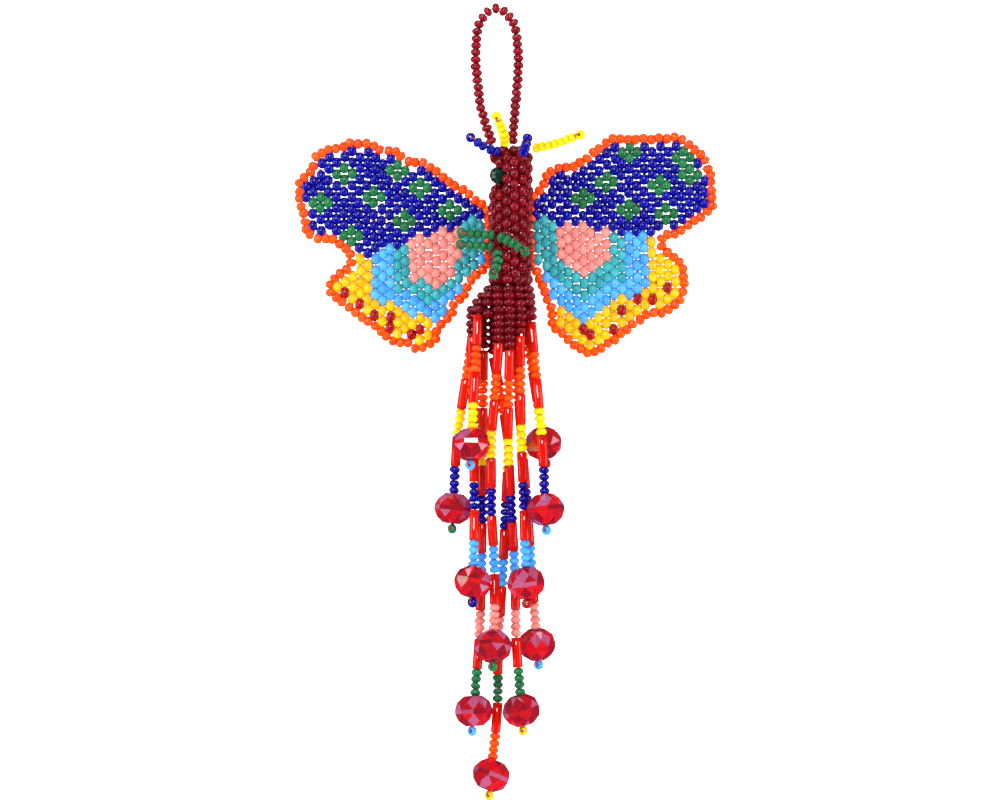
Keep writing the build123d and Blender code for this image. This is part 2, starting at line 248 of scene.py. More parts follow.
def basis(axis, spin):
    """Three unit directions as rows, the third along axis, turned about it by spin."""
    axis = unit(axis)
    upright = abs(axis[2]) > MOST_UPRIGHT
    side = unit(np.cross(axis, (0.0, 1.0, 0.0) if upright else (0.0, 0.0, 1.0)))
    other = np.cross(axis, side)
    turned_side = side * math.cos(spin) + other * math.sin(spin)
    return np.array([turned_side, np.cross(axis, turned_side), axis])


def tilted(axis, amount):
    """A direction a little off axis, by a random amount in radians."""
    return unit(unit(axis) + RANDOM.normal(0.0, amount, 3))


def shift(amount):
    """A random small step, of an amount in millimetres."""
    return RANDOM.normal(0.0, amount, 3) * MM


def put_seed(beads, material, middle, axis, length, diameter, tilt=0.05, wobble=0.03, profile=SEED_PROFILE):
    """One pressed seed bead: slightly off round, off size and off square, as real ones are."""
    points, quads = turned(profile, SEED_SIDES)
    length = length * RANDOM.normal(1.0, SEED_LENGTH_SPREAD)
    diameter = diameter * RANDOM.normal(1.0, SEED_SPREAD)
    oval = 1.0 + RANDOM.normal(0.0, SEED_OVAL)
    skew = RANDOM.normal(0.0, SEED_SKEW)
    points = points * (diameter / 2 * oval, diameter / 2 / oval, length / 2)
    points[:, 2] += points[:, 0] * skew
    frame_axes = basis(tilted(axis, tilt), RANDOM.uniform(0, 2 * math.pi))
    beads.add(points @ frame_axes + middle + shift(wobble), quads, material)


# ---- materials ----------------------------------------------------------------------------------------
# The colour sockets of a mix node, which shares its socket names with its number sockets.
MIX_A = 6
MIX_B = 7
MIX_RESULT = 2
# The scale of the clouds of colour on a bead, the scale and depth of its ripples, and how far its tone
# moves both.
CLOUD_SCALE = 900.0
RIPPLE_SCALE = 1400.0
RIPPLE_DEPTH = 0.2 * MM
TONE_SHIFT = 7.0
# A bead's share of its depth colour starts a little under none, so that some beads have none of it.
TONE_START = -0.12
# How smooth and how rough glass gets in its clouds, as shares of its roughness.
SMOOTHEST = 0.6
ROUGHEST = 1.6
# The tones at which a crystal's facet starts to get a painted mauve reflection in its colour and gets it in
# full, and its share of mauve then.
PAINTED_FLASH_START = 0.78
PAINTED_FLASH_FULL = 0.84
PAINTED_FLASH_SHARE = 0.7


def feed(tree, node, inputs):
    """Gives inputs of a node, by name or number, a value or another node's output."""
    for key, value in inputs.items():
        if isinstance(value, bpy.types.NodeSocket):
            tree.links.new(value, node.inputs[key])
        else:
            node.inputs[key].default_value = value


def add_node(tree, kind, inputs=None, **settings):
    """A new node, with its settings made and then its inputs fed."""
    made = tree.nodes.new(kind)
    for name, value in settings.items():
        setattr(made, name, value)
    feed(tree, made, inputs or {})
    return made


def object_place(tree):
    """Where a point of the surface is, in the object's own frame."""
    return add_node(tree, "ShaderNodeTexCoord").outputs["Object"]


def bead_tone(tree):
    """The outputs that hold the tone of a bead or facet."""
    return add_node(tree, "ShaderNodeAttribute", attribute_name="bead_tone").outputs


def clouds(tree, scale, detail=2.0, place=None):
    """Soft noise from 0 to 1, at a place that another node gives or else at the texture's own."""
    inputs = {"Scale": scale, "Detail": detail}
    if place is not None:
        inputs["Vector"] = place
    return add_node(tree, "ShaderNodeTexNoise", inputs).outputs["Fac"]


def blend(tree, share, first, second):
    """A colour from first to second; each is a colour or another node's output."""
    inputs = {0: share, MIX_A: first, MIX_B: second}
    return add_node(tree, "ShaderNodeMix", inputs, data_type="RGBA", clamp_factor=True).outputs[MIX_RESULT]


def in_range(tree, share, low, high, start=0.0, full=1.0):
    """A value that goes from low to high while a share goes from start to full."""
    inputs = {"Value": share, "From Min": start, "From Max": full, "To Min": low, "To Max": high}
    return add_node(tree, "ShaderNodeMapRange", inputs).outputs["Result"]


def multiply_add(tree, value, factor, addend):
    """A value times a factor, plus an addend."""
    inputs = {0: value, 1: factor, 2: addend}
    return add_node(tree, "ShaderNodeMath", inputs, operation="MULTIPLY_ADD").outputs[0]


def relief(tree, height, strength, depth):
    """The direction of a surface that follows a height."""
    inputs = {"Height": height, "Strength": strength, "Distance": depth}
    return add_node(tree, "ShaderNodeBump", inputs).outputs["Normal"]


def linear(r, g, b):
    """An sRGB colour, 0 to 255, as linear light."""
    out = []
    for value in (r, g, b):
        share = value / 255
        out.append(share / 12.92 if share <= 0.04045 else ((share + 0.055) / 1.055) ** 2.4)
    return (*out, 1.0)


def new_material(name):
    """A new material, its node tree and its shader."""
    material = bpy.data.materials.new(name)
    material.use_nodes = True
    tree = material.node_tree
    return material, tree, tree.nodes["Principled BSDF"]


def glass(
    name, colour, depth, roughness=0.1, transmission=0.0, scatter=0.0, coat=0.3, streak=0.25, bump=0.06,
    variety=0.55,
):
    """Bead glass. Its colour shifts from bead to bead and in soft clouds within a bead, towards depth."""
    material, tree, shader = new_material(name)
    tone = bead_tone(tree)
    scaled = {0: tone["Vector"], "Scale": TONE_SHIFT}
    tone_shift = add_node(tree, "ShaderNodeVectorMath", scaled, operation="SCALE").outputs[0]
    added = {0: object_place(tree), 1: tone_shift}
    place = add_node(tree, "ShaderNodeVectorMath", added, operation="ADD").outputs[0]
    cloud = clouds(tree, CLOUD_SCALE, 3.0, place)
    by_bead = multiply_add(tree, tone["Fac"], variety, TONE_START)
    share = multiply_add(tree, cloud, streak, by_bead)
    feed(tree, shader, {
        "Base Color": blend(tree, share, linear(*colour), linear(*depth)),
        "Roughness": in_range(tree, cloud, roughness * SMOOTHEST, roughness * ROUGHEST),
        "Normal": relief(tree, clouds(tree, RIPPLE_SCALE, place=place), bump, RIPPLE_DEPTH),
        "IOR": 1.5,
        "Specular IOR Level": 0.5,
        "Transmission Weight": transmission,
        "Coat Weight": coat,
        "Coat Roughness": 0.06,
        "Coat IOR": 1.7,
    })
    if scatter:
        feed(tree, shader, {
            "Subsurface Weight": scatter,
            "Subsurface Radius": (1.0, 0.5, 0.3),
            "Subsurface Scale": 0.0006,
        })
    return material


def coated_crystal(name):
    """Cut red glass under a rainbow coat: a thin film of uneven thickness, and a painted mauve reflection in
    the colour of some facets.
    """
    material = glass(
        name, (240, 14, 26), (112, 0, 34), 0.03, transmission=0.35, coat=0.4, streak=0.5, bump=0.0,
        variety=0.95,
    )
    tree = material.node_tree
    shader = tree.nodes["Principled BSDF"]
    red = shader.inputs["Base Color"].links[0].from_socket
    # Painted reflection: the facets with the highest tones get mauve mixed into their base colour, standing
    # for the coat's flash.
    painted_flash = in_range(tree, bead_tone(tree)["Fac"], 0.0, PAINTED_FLASH_SHARE, PAINTED_FLASH_START, PAINTED_FLASH_FULL)
    cloud = clouds(tree, 260.0, place=object_place(tree))
    feed(tree, shader, {
        "Base Color": blend(tree, painted_flash, red, linear(216, 108, 156)),
        "Thin Film Thickness": in_range(tree, cloud, 380.0, 520.0),
        "Thin Film IOR": 2.0,
        "Specular IOR Level": 0.8,
    })
    return material


def silver_lining():
    """The mirror coat inside a bugle's hole, dulled in patches."""
    material, tree, shader = new_material("silver_lining")
    feed(tree, shader, {
        "Base Color": (0.9, 0.88, 0.86, 1.0),
        "Metallic": 1.0,
        "Roughness": in_range(tree, clouds(tree, 1500.0), 0.12, 0.4),
    })
    return material


def thread_fibre():
    """Waxed red beading thread: a fine twist in its colour and relief."""
    material, tree, shader = new_material("thread_fibre")
    inputs = {"Vector": object_place(tree), "Scale": 2600.0, "Distortion": 1.5}
    twist = add_node(tree, "ShaderNodeTexWave", inputs, bands_direction="DIAGONAL").outputs["Fac"]
    feed(tree, shader, {
        "Base Color": blend(tree, twist, linear(168, 14, 26), linear(96, 4, 12)),
        "Normal": relief(tree, twist, 0.5, 0.05 * MM),
        "Roughness": 0.6,
        "Sheen Weight": 0.3,
    })
    return material


NAVY = glass("navy_glass", (1, 1, 138), (0, 0, 94), 0.1)
GREEN = glass("green_glass", (22, 106, 60), (10, 70, 38), 0.1, scatter=0.05)
PINK = glass("pink_glass", (226, 134, 126), (198, 98, 94), 0.14, scatter=0.2)
TURQUOISE = glass("turquoise_glass", (50, 158, 168), (22, 114, 126), 0.12, scatter=0.1)
LIGHT_BLUE = glass("light_blue_glass", (74, 164, 238), (32, 120, 216), 0.11, scatter=0.1)
YELLOW = glass("yellow_glass", (246, 178, 0), (222, 138, 0), 0.12, scatter=0.1)
FRINGE_YELLOW = glass("fringe_yellow_glass", (246, 204, 0), (232, 170, 0), 0.12, scatter=0.1)
ORANGE = glass("orange_glass", (252, 74, 0), (236, 44, 0), 0.1, scatter=0.15)
LOOP_RED = glass("loop_red_glass", (138, 0, 24), (98, 0, 15), 0.1, transmission=0.2)
BODY_RED = glass("body_red_glass", (142, 0, 22), (86, 0, 12), 0.08, transmission=0.35)
ABDOMEN_RED = glass("abdomen_red_glass", (132, 0, 18), (72, 0, 10), 0.08, transmission=0.35)
DOT_RED = glass("dot_red_glass", (158, 0, 14), (104, 0, 8), 0.1)
EYE_GLASS = glass(
    "eye_glass", (20, 74, 50), (1, 10, 8), 0.05, coat=0.6, streak=0.5, bump=0.0, variety=0.9,
)
BUGLE_RED = glass(
    "bugle_red_glass", (236, 26, 0), (196, 4, 4), 0.06, transmission=0.3, coat=0.4, streak=0.5, bump=0.03,
)
CRYSTAL = coated_crystal("crystal_red_glass")
SILVER = silver_lining()
THREAD = thread_fibre()

WING_GLASS = {
    "navy_field": NAVY, "green_flowers": GREEN, "pink_patch": PINK, "turquoise_band": TURQUOISE,
    "light_blue_band": LIGHT_BLUE, "yellow_band": YELLOW, "red_dots": DOT_RED, "orange_edge": ORANGE,
}


def finish_piece(beads, body, node):
    """Builds the beads as a piece that rides on a body and stands for its node."""
    piece = beads.build()
    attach(piece, body)
    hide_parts(node)


# ---- loop, body and abdomen ---------------------------------------------------------------------------
# The length of seed beads threaded end to end, on the loop, the stalks and the strands.
STRUNG_LENGTH = 1.42 * MM
LOOP_DIAMETER = 2.16 * MM
BODY_LENGTH = 1.72 * MM
BODY_DIAMETER = 2.36 * MM
# The abdomen's top row: how much higher its beads sit, and their length.
COLLAR_RISE = 0.45 * MM
COLLAR_LENGTH = 2.2 * MM
ABDOMEN_LENGTH = 1.54 * MM
ABDOMEN_DIAMETER = 2.48 * MM
# An eye's radius as a share of its solid's, its rings and sides, its table in rings, and its turn in radians.
EYE_SHARE = 0.95
EYE_RINGS = 6
EYE_SIDES = 10
EYE_TABLE = 0.35
EYE_SPIN = 0.3


def seeds_for(node, name, body, slot, material, length, diameter, **looseness):
    """A piece with one seed bead for each solid of a node."""
    beads = Beads(name)
    for spot in spots_of(node):
        put_seed(beads, material, spot.middle, spot.axis, length, diameter, **looseness)
    finish_piece(beads, body, node)


def make_abdomen():
    """The abdomen's upright beads; those of the top row reach up between the tube's lowest beads."""
    beads = Beads("abdomen_seed_beads")
    spots = spots_of("abdomen_beads")
    top = spots[0].middle[2]
    for spot in spots:
        collar = spot.middle[2] > top - spot.length / 2
        middle = spot.middle + (0, 0, COLLAR_RISE if collar else 0)
        length = COLLAR_LENGTH if collar else ABDOMEN_LENGTH
        put_seed(
            beads, ABDOMEN_RED, middle, spot.axis, length, ABDOMEN_DIAMETER,
            tilt=0.1, wobble=0.05, profile=SNUG_PROFILE,
        )
    finish_piece(beads, "body", "abdomen_beads")


def faceted_ball(radius, rings, sides):
    """A cut round bead: flat facets in staggered rings between two flat tables."""
    points = []
    for ring in range(rings + 1):
        height = math.cos(math.pi * (ring + EYE_TABLE) / (rings + 2 * EYE_TABLE))
        across = math.sqrt(max(0.0, 1 - height * height))
        for side in range(sides):
            turn = 2 * math.pi * (side + (ring % 2) / 2) / sides
            points.append((across * math.cos(turn), across * math.sin(turn), height))
    faces = [tuple(range(sides))]
    for ring in range(rings):
        low = ring * sides
        high = low + sides
        for side in range(sides):
            after = (side + 1) % sides
            if ring % 2:
                faces.append((low + side, high + side, high + after))
                faces.append((low + side, high + after, low + after))
            else:
                faces.append((low + side, high + side, low + after))
                faces.append((low + after, high + side, high + after))
    faces.append(tuple(reversed(range(rings * sides, (rings + 1) * sides))))
    return np.array(points) * radius, faces


def make_eyes():
    """The cut eyes, each with its table facet turned outward."""
    beads = Beads("eye_beads")
    body_middle = middle_of("body_beads")
    for spot in spots_of("eyes"):
        points, faces = faceted_ball(spot.radius * EYE_SHARE, EYE_RINGS, EYE_SIDES)
        outward = spot.middle - body_middle
        outward[2] = 0
        tones = RANDOM.random(len(faces))
        beads.add(points @ basis(outward, EYE_SPIN) + spot.middle, faces, EYE_GLASS, smooth=False, tone=tones)
    finish_piece(beads, "body", "eyes")


# ---- wings --------------------------------------------------------------------------------------------
# The edge's line: its points, how often it is drawn towards its distance from the field, and by what share.
EDGE_FINENESS = 240
EDGE_PASSES = 10
EDGE_PULL = 0.5
EDGE_STANDOFF = 1.86 * MM
# How far the line stays inside the outermost beads of the CAD's edge, so that it clears the body in a fold.
EDGE_MARGIN = 0.3 * MM
EDGE_PITCH = 1.62 * MM
EDGE_LENGTH = 1.66 * MM
EDGE_DIAMETER = 2.16 * MM
FORE_WING = ("navy_field", "green_flowers")
FIELD_LENGTH = 1.86 * MM
FORE_DIAMETER = 2.30 * MM
HIND_DIAMETER = 2.44 * MM
# For each direction, waves of creep: reach in millimetres, radians per millimetre along X and Z, and start.
SLACK_WAVES = (
    ((0.16, 0.0, 0.21, 0.6), (0.08, 0.52, -0.3, 0.0)),
    ((0.12, 0.13, 0.17, 0.0),),
    ((0.22, 0.19, 0.0, 1.1), (0.12, 0.33, 0.44, 0.0)),
)


def slack(middles):
    """How far a hand-worked wing has crept off its even lattice: slow waves over its face."""
    x, z = middles[:, 0] / MM, middles[:, 2] / MM
    creep = [
        sum(reach * np.sin(by_x * x + by_z * z + start) for reach, by_x, by_z, start in waves)
        for waves in SLACK_WAVES
    ]
    return np.stack(creep, axis=1) * MM


def smoothed(ring):
    """A closed ring of points, each drawn half way to the middle of its neighbours."""
    return (np.roll(ring, 1, axis=0) + 2 * ring + np.roll(ring, -1, axis=0)) / 4


def respaced(ring, count):
    """A closed ring of points made again with count points evenly along it, and its length."""
    closed = np.concatenate([ring, ring[:1]])
    reach = np.concatenate([[0.0], np.cumsum(np.linalg.norm(np.diff(closed, axis=0), axis=1))])
    wanted = np.arange(count) / count * reach[-1]
    return np.stack([np.interp(wanted, reach, closed[:, k]) for k in range(3)], axis=1), reach[-1]


def edge_chain(middles, field):
    """Spots and directions of a closed string of beads worked along the wing's edge, against its field."""
    hub = middles.mean(axis=0)
    turn = np.arctan2(middles[:, 2] - hub[2], middles[:, 0] - hub[0])
    ring, length = respaced(smoothed(middles[np.argsort(turn)]), EDGE_FINENESS)
    for _ in range(EDGE_PASSES):
        away = ring[:, None] - field[None]
        distance = np.linalg.norm(away, axis=2)
        nearest = distance.argmin(axis=1)
        which = np.arange(len(ring))
        least = distance[which, nearest][:, None]
        ring = ring + away[which, nearest] / least * (EDGE_STANDOFF - least) * EDGE_PULL
        ring, length = respaced(smoothed(smoothed(ring)), EDGE_FINENESS)
    ring, length = respaced(ring, round(length / EDGE_PITCH))
    ring[:, 0] = np.clip(ring[:, 0], middles[:, 0].min() + EDGE_MARGIN, middles[:, 0].max() - EDGE_MARGIN)
    return ring, np.roll(ring, -1, axis=0) - np.roll(ring, 1, axis=0)


def make_wing(side):
    """A wing's field of beads, one piece for each colour, and the chain of beads along its edge."""
    spots = {group: spots_of(f"{side}_wing_{group}") for group in WING_GLASS}
    middles = {group: np.array([spot.middle for spot in spots[group]]) for group in WING_GLASS}
    middles = {group: spread + slack(spread) for group, spread in middles.items()}
    field = np.concatenate([spread for group, spread in middles.items() if group != "orange_edge"])
    for group, material in WING_GLASS.items():
        node = f"{side}_wing_{group}"
        beads = Beads(node + "_beads")
        if group == "orange_edge":
            for middle, run in zip(*edge_chain(middles[group], field)):
                put_seed(beads, material, middle, run, EDGE_LENGTH, EDGE_DIAMETER, wobble=0.1, tilt=0.12)
        else:
            diameter = FORE_DIAMETER if group in FORE_WING else HIND_DIAMETER
            for middle, spot in zip(middles[group], spots[group]):
                put_seed(beads, material, middle, spot.axis, FIELD_LENGTH, diameter, wobble=0.045, tilt=0.08)
        finish_piece(beads, f"{side}_wing", node)


# ---- thread -------------------------------------------------------------------------------------------
THREAD_SIDES = 8
# A direction that no thread here runs along.
ODD_WAY = (0.3, 0.5, 0.8)
# The turn round a stopper: its thread, how deep its ends are tucked in and how far apart they come out.
TURN_THREAD_RADIUS = 0.13 * MM
TURN_TUCK = 0.4 * MM
TURN_APART = 0.25 * MM
# How far the turn bulges past the bead's ends at its shoulder, which is this share of the radius up.
TURN_BULGE = 0.15 * MM
TURN_SHOULDER = 0.5
# How far the thread stands off the bead's ends, in radii of the thread, and the steps of each stretch.
TURN_STANDOFF = 1.5
TURN_STEPS = 5


def smooth_line(points, steps):
    """A curve through points, steps to each stretch."""
    points = np.array(points)
    ends = np.concatenate([[2 * points[0] - points[1]], points, [2 * points[-1] - points[-2]]])
    line = []
    for before, start, end, after in zip(ends, ends[1:], ends[2:], ends[3:]):
        for t in np.arange(steps) / steps:
            line.append(0.5 * (
                2 * start + (end - before) * t + (2 * before - 5 * start + 4 * end - after) * t ** 2
                + (3 * start - before - 3 * end + after) * t ** 3
            ))
    line.append(points[-1])
    return np.array(line)


def add_thread(beads, line, radius):
    """A round thread along a line of points, with closed ends."""
    sides = THREAD_SIDES
    runs = np.gradient(line, axis=0)
    side = unit(np.cross(runs[0], ODD_WAY))
    points = []
    for spot, run in zip(line, runs):
        run = unit(run)
        side = unit(side - run * (side @ run))
        other = np.cross(run, side)
        for k in range(sides):
            turn = 2 * math.pi * k / sides
            points.append(spot + radius * (side * math.cos(turn) + other * math.sin(turn)))
    faces = []
    for ring in range(len(line) - 1):
        for k in range(sides):
            after = (k + 1) % sides
            low = ring * sides
            faces.append((low + k, low + after, low + sides + after, low + sides + k))
    faces.append(tuple(reversed(range(sides))))
    faces.append(tuple(range((len(line) - 1) * sides, len(line) * sides)))
    beads.add(np.array(points), faces, THREAD)


def stopper_turn(beads, leave, stopper):
    """The thread's turn round a stopper bead: out of the stalk, through the bead and back."""
    across = unit(stopper.axis)
    down = unit(stopper.middle - leave)
    half = stopper.length / 2 + TURN_STANDOFF * TURN_THREAD_RADIUS
    shoulder = stopper.middle - down * stopper.radius * TURN_SHOULDER
    tucked = leave - down * TURN_TUCK
    line = smooth_line([
        tucked, leave + across * TURN_APART, shoulder + across * (half + TURN_BULGE),
        stopper.middle + across * half, stopper.middle, stopper.middle - across * half,
        shoulder - across * (half + TURN_BULGE), leave - across * TURN_APART, tucked,
    ], TURN_STEPS)
    add_thread(beads, line, TURN_THREAD_RADIUS)


def dress_threads():
    """Gives the frame's own threads, whose shapes are kept, the look of beading thread."""
    for node, piece in frame["nodes"].items():
        if node.endswith("_thread"):
            piece.data.materials.clear()
            piece.data.materials.append(THREAD)


# ---- antennae and legs --------------------------------------------------------------------------------
STALK_DIAMETER = 2.12 * MM
STALK_THREAD_RADIUS = 0.14 * MM
# Where the turn round the tip bead leaves the stalk, as a share of the last bead's length from its middle.
STALK_LEAVE = 0.55


def make_stalk(node, material):
    """A stalk of seed beads with its thread showing where it turns round the tip bead."""
    spots = spots_of(node)
    root = thread_root([spot for spot in spots if is_thread(spot)])
    seeds = [spot for spot in spots if not is_thread(spot)]
    seeds.sort(key=lambda spot: np.linalg.norm(spot.middle - root))
    beads = Beads(node + "_beads")
    for spot in seeds:
        put_seed(
            beads, material, spot.middle, spot.axis, STRUNG_LENGTH, STALK_DIAMETER,
            tilt=0.03, wobble=0.02,
        )
    tip, last = seeds[-1], seeds[-2]
    line = [spot.middle for spot in seeds[:-1]]
    add_thread(beads, smooth_line([root] + line, steps=3), STALK_THREAD_RADIUS)
    leave = last.middle + unit(tip.middle - last.middle) * last.length * STALK_LEAVE
    stopper_turn(beads, leave, tip)
    finish_piece(beads, node, node)


def thread_root(threads):
    """The end of a stalk's thread that is nearest to the body's axis."""
    body_middle = middle_of("body_beads")
    ends = [thread.middle + thread.axis * thread.length * half for thread in threads for half in (-0.5, 0.5)]
    return min(ends, key=lambda end: np.linalg.norm((end - body_middle)[:2]))


# ---- fringe -------------------------------------------------------------------------------------------
GROUP_GLASS = (ORANGE, FRINGE_YELLOW, NAVY, LIGHT_BLUE, PINK, GREEN, ORANGE)
STOPPER_GLASS = {
    "01": GREEN, "02": LIGHT_BLUE, "03": GREEN, "04": YELLOW, "05": DOT_RED, "06": LIGHT_BLUE,
    "07": DOT_RED, "08": LIGHT_BLUE, "09": YELLOW, "10": LIGHT_BLUE, "11": NAVY,
}
BUGLE_MIN_LENGTH = 4 * MM
BUGLE_RADIUS = 1.02 * MM
BUGLE_HOLE = 0.52 * MM
LINING_RADIUS = 0.50 * MM
LINING_HOLE = 0.40 * MM
LINING_SHARE = 0.97
BUGLE_SIDES = 24
LINING_SIDES = 16
BUGLE_TILT = 0.006
BUGLE_RIM = 0.12 * MM
# Where a bugle has its rings of points near the middle, as a share of its half length.
BUGLE_WAIST = 0.3
CRYSTAL_MIN_RADIUS = 3 * MM
STRAND_SEED_DIAMETER = 2.16 * MM
STOPPER_DIAMETER = 2.1 * MM
STRAND_THREAD_RADIUS = 0.16 * MM
# How far a strand's thread shows over its first bead, on its way into the hem.
THREAD_LEAD = 0.45 * MM


def bugle_profile(length, radius, hole):
    """Half outline points of a tube with softened rims, closed round the glass."""
    half = length / 2
    upper = [
        (radius, BUGLE_WAIST * half), (radius, half - BUGLE_RIM), (radius - BUGLE_RIM, half),
        (hole + BUGLE_RIM / 2, half), (hole, half - BUGLE_RIM),
    ]
    return np.array(upper + [(r, -h) for r, h in reversed(upper)])


def put_bugle(beads, spot):
    """A silver-lined bugle: a clear red tube whose hole has a mirror coat."""
    axes = basis(tilted(spot.axis, BUGLE_TILT), RANDOM.uniform(0, 2 * math.pi))
    points, quads = turned(bugle_profile(spot.length, BUGLE_RADIUS, BUGLE_HOLE), BUGLE_SIDES)
    tone = RANDOM.random()
    beads.add(points @ axes + spot.middle, quads, BUGLE_RED, tone=tone)
    lining = bugle_profile(spot.length * LINING_SHARE, LINING_RADIUS, LINING_HOLE)
    points, quads = turned(lining, LINING_SIDES)
    beads.add(points @ axes + spot.middle, quads, SILVER, tone=tone)


CRYSTAL_SIDES = 9
# The table's reach as a share of the radius, and half the girdle's height as a share of the half length.
CRYSTAL_TABLE = 0.48
CRYSTAL_GIRDLE = 0.14
# Reach and height of the crown's corners as shares of the radius and the half length.
CRYSTAL_CROWN = (0.86, 0.62)
CRYSTAL_HOLE = 0.5 * MM
CRYSTAL_TILT = 0.12


def put_crystal(beads, spot):
    """A cut rondelle: kite facets between two rows of triangles on each half, and a flat girdle."""
    sides = CRYSTAL_SIDES
    step = math.pi / sides
    radius, half = spot.radius, spot.length / 2
    table = (radius * CRYSTAL_TABLE, half)
    girdle = (radius, half * CRYSTAL_GIRDLE)
    crown = (radius * CRYSTAL_CROWN[0], half * CRYSTAL_CROWN[1])
    rings = [
        (CRYSTAL_HOLE, half, 0), (*table, 0), (*crown, 1), (*girdle, 0),
        (girdle[0], -girdle[1], 0), (crown[0], -crown[1], 1), (table[0], -half, 0), (CRYSTAL_HOLE, -half, 0),
    ]
    points = []
    for reach, height, late in rings:
        for k in range(sides):
            turn = 2 * step * k + step * late
            points.append((reach * math.cos(turn), reach * math.sin(turn), height))
    faces = []
    at = [ring * sides for ring in range(len(rings))]
    for k in range(sides):
        after = (k + 1) % sides
        before = (k - 1) % sides
        faces += [
            (at[0] + k, at[1] + k, at[1] + after, at[0] + after),
            (at[1] + k, at[2] + k, at[1] + after),
            (at[1] + k, at[2] + before, at[3] + k, at[2] + k),
            (at[3] + k, at[3] + after, at[2] + k),
            (at[3] + k, at[4] + k, at[4] + after, at[3] + after),
            (at[4] + k, at[5] + k, at[4] + after),
            (at[4] + k, at[5] + before, at[6] + k, at[5] + k),
            (at[5] + k, at[6] + k, at[6] + after),
            (at[6] + k, at[7] + k, at[7] + after, at[6] + after),
            (at[7] + k, at[0] + k, at[0] + after, at[7] + after),
        ]
    axes = basis(tilted(spot.axis, CRYSTAL_TILT), RANDOM.uniform(0, 2 * math.pi))
    tones = RANDOM.random(len(faces))
    beads.add(np.array(points) @ axes + spot.middle, faces, CRYSTAL, smooth=False, tone=tones)


def make_strand(number):
    """A strand of the fringe: its bugles and seed beads, then the crystal and the stopper under it."""
    body = f"fringe_strand_{number}"
    spots = spots_of(body + "_beads")
    strung = [spot for spot in spots if not is_thread(spot)]
    beads = Beads(body + "_strung")
    group = -1
    for spot in strung:
        if spot.length > BUGLE_MIN_LENGTH:
            put_bugle(beads, spot)
            group += 1
        else:
            put_seed(
                beads, GROUP_GLASS[group], spot.middle, spot.axis, STRUNG_LENGTH, STRAND_SEED_DIAMETER,
            )
    drops = spots_of(body + "_drop")
    crystal = next(spot for spot in drops if spot.radius > CRYSTAL_MIN_RADIUS)
    stopper = next(spot for spot in drops if spot.radius < CRYSTAL_MIN_RADIUS)
    down = unit(strung[1].middle - strung[0].middle)
    top = strung[0].middle - down * (strung[0].length / 2 + THREAD_LEAD)
    line = [top] + [spot.middle for spot in strung] + [crystal.middle]
    add_thread(beads, smooth_line(line, steps=2), STRAND_THREAD_RADIUS)
    finish_piece(beads, body, body + "_beads")
    drop = Beads(body + "_crystal")
    put_crystal(drop, crystal)
    put_seed(
        drop, STOPPER_GLASS[number], stopper.middle, stopper.axis, STRUNG_LENGTH, STOPPER_DIAMETER,
        wobble=0.0,
    )
    leave = crystal.middle + unit(stopper.middle - crystal.middle) * crystal.length / 2
    stopper_turn(drop, leave, stopper)
    finish_piece(drop, body, body + "_drop")


# ---- stage --------------------------------------------------------------------------------------------
def paper(name):
    """Matt white studio paper with the faintest mottling, which shines a little, as if it were lit apart."""
    material, tree, shader = new_material(name)
    white = blend(tree, clouds(tree, 3.0), (0.93, 0.93, 0.93, 1.0), (0.90, 0.90, 0.90, 1.0))
    feed(tree, shader, {
        "Base Color": white,
        "Roughness": 0.9,
        "Specular IOR Level": 0.1,
        "Emission Color": white,
        "Emission Strength": 1.12,
    })
    return material


# The floor's drop under the fringe, the wall's distance, the bend between them and the wall's top.
STAGE_DROP = 0.035
STAGE_REACH = 2.0
STAGE_BEND = 0.5
STAGE_TOP = 2.4
STAGE_SIDES = 32
BEND_STEPS = 12


def stage_sheet(name, outline, start, material):
    """Studio paper: an outline of (reach, height) turned half way round the ornament from a bearing."""
    turns = start + math.pi * np.arange(STAGE_SIDES + 1) / STAGE_SIDES
    points = [(reach * math.cos(turn), reach * math.sin(turn), z) for turn in turns for reach, z in outline]
    rows = len(outline)
    faces = []
    for side in range(STAGE_SIDES):
        for row in range(rows - 1):
            at = side * rows + row
            faces.append((at, at + 1, at + rows + 1, at + rows))
    mesh = bpy.data.meshes.new(name)
    mesh.from_pydata(points, [], faces)
    mesh.polygons.foreach_set("use_smooth", [True] * len(faces))
    mesh.materials.append(material)
    sheet = bpy.data.objects.new(name, mesh)
    bpy.context.scene.collection.objects.link(sheet)
    # The paper is kept out of the glass, as a photographer keeps it out with black cards.
    sheet.visible_glossy = False
    sheet.visible_transmission = False
    return sheet


def make_stage():
    """A round floor under the fringe that curves up into a wall all round."""
    white = paper("studio_paper")
    floor_z = float(CAD_BOX[0][2]) - STAGE_DROP
    flat = [(0.0, floor_z), (STAGE_REACH - STAGE_BEND, floor_z)]
    wall = []
    for k in range(BEND_STEPS + 1):
        turn = math.pi / 2 * k / BEND_STEPS
        reach = STAGE_REACH - STAGE_BEND + STAGE_BEND * math.sin(turn)
        wall.append((reach, floor_z + STAGE_BEND - STAGE_BEND * math.cos(turn)))
    wall.append((STAGE_REACH, STAGE_TOP))
    stage_sheet("studio_floor_back", flat + wall[1:], 0.0, white)
    stage_sheet("studio_floor_front", flat, math.pi, white)
    screen = stage_sheet("studio_screen_front", wall, math.pi, white)
    # The wall on the camera's side only closes the view from behind: it sheds no light on the front.
    screen.visible_diffuse = False


# What the lights are aimed at: the ornament, or a point behind it for the lights of the paper there.
ORNAMENT_MIDDLE = (0.0, 0.0, -0.08)
BEHIND_ORNAMENT = (0.0, 0.55, -0.05)


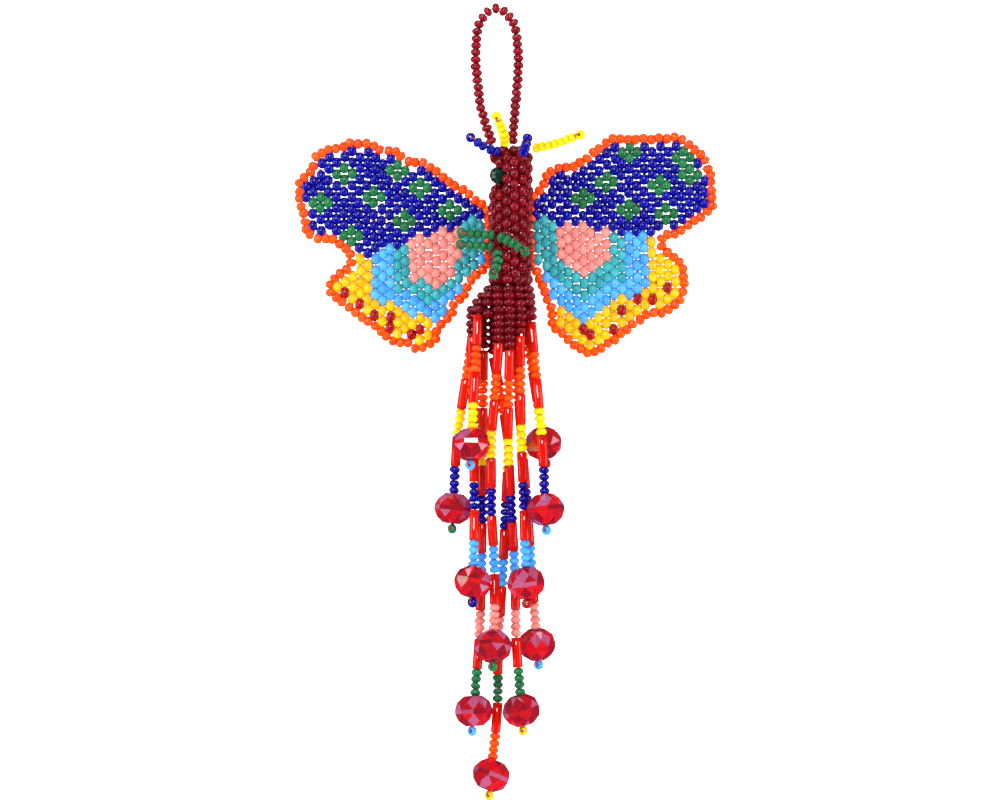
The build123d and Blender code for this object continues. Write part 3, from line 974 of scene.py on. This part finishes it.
def area_light(name, place, aim, size, power, mirrored=True):
    """A rectangular soft light; one that is not mirrored gives no highlight of its own."""
    data = bpy.data.lights.new(name, "AREA")
    data.shape = "RECTANGLE"
    data.size, data.size_y = size
    data.energy = power
    light = bpy.data.objects.new(name, data)
    bpy.context.scene.collection.objects.link(light)
    light.location = place
    away = unit(np.array(place) - np.array(aim))
    light.rotation_euler = (math.acos(away[2]), 0, math.atan2(away[1], away[0]) + math.pi / 2)
    light.visible_glossy = mirrored


def make_lights():
    """Soft studio lights round the ornament, two of them for the paper behind it, and a dim room."""
    area_light("key", (-0.14, -0.88, 0.32), ORNAMENT_MIDDLE, (0.40, 0.26), 5.0)
    area_light("fill", (0.25, -1.10, 0.10), ORNAMENT_MIDDLE, (1.1, 1.1), 3.0, mirrored=False)
    area_light("top", (0.0, -0.1, 0.9), ORNAMENT_MIDDLE, (0.5, 0.5), 2.2)
    area_light("side_left", (-0.75, -0.25, -0.05), ORNAMENT_MIDDLE, (0.3, 0.9), 1.8)
    area_light("side_right", (0.75, -0.25, -0.15), ORNAMENT_MIDDLE, (0.3, 0.9), 1.8)
    area_light("low", (0.1, -0.55, -0.75), ORNAMENT_MIDDLE, (0.6, 0.3), 0.8, mirrored=False)
    area_light("backdrop_left", (-0.7, -0.2, 0.5), BEHIND_ORNAMENT, (0.6, 0.6), 4.0, mirrored=False)
    area_light("backdrop_right", (0.7, -0.2, 0.5), BEHIND_ORNAMENT, (0.6, 0.6), 4.0, mirrored=False)
    world = bpy.data.worlds.new("studio_world")
    world.use_nodes = True
    background = world.node_tree.nodes["Background"]
    background.inputs["Color"].default_value = (1.0, 1.0, 1.0, 1.0)
    background.inputs["Strength"].default_value = 0.06
    bpy.context.scene.world = world


# ---- camera -------------------------------------------------------------------------------------------
# The width that the picture takes in at the ornament, and where the camera is.
FRAME_WIDTH = 204 * MM
CAMERA_PLACE = (0.6 * MM, -0.75, -78.6 * MM)
SENSOR_WIDTH = 36.0


def make_camera():
    """Straight on, at the height of the ornament's middle, from far enough to keep it square."""
    data = bpy.data.cameras.new("camera")
    data.sensor_width = SENSOR_WIDTH
    data.lens = SENSOR_WIDTH * -CAMERA_PLACE[1] / FRAME_WIDTH
    camera = bpy.data.objects.new("camera", data)
    bpy.context.scene.collection.objects.link(camera)
    camera.location = CAMERA_PLACE
    camera.rotation_euler = (math.pi / 2, 0, 0)
    bpy.context.scene.camera = camera


# ---- run ----------------------------------------------------------------------------------------------
make_camera()
make_stage()
make_lights()
bpy.context.scene.view_settings.view_transform = "Standard"

seeds_for(
    "hanging_loop_beads", "loop_seed_beads", "hanging_loop", "dark_red_glass", LOOP_RED,
    STRUNG_LENGTH, LOOP_DIAMETER,
)
seeds_for(
    "body_beads", "body_seed_beads", "body", "body_red_glass", BODY_RED, BODY_LENGTH, BODY_DIAMETER,
    tilt=0.08, wobble=0.05, profile=SNUG_PROFILE,
)
make_abdomen()
make_eyes()
make_wing("left")
make_wing("right")
for name in frame["bodies"]:
    if name.startswith("antenna_yellow"):
        make_stalk(name, FRINGE_YELLOW)
    elif name.startswith("antenna_blue"):
        make_stalk(name, NAVY)
    elif name.startswith("leg_"):
        make_stalk(name, GREEN)
    elif name.startswith("fringe_strand_"):
        make_strand(name[-2:])
dress_threads()
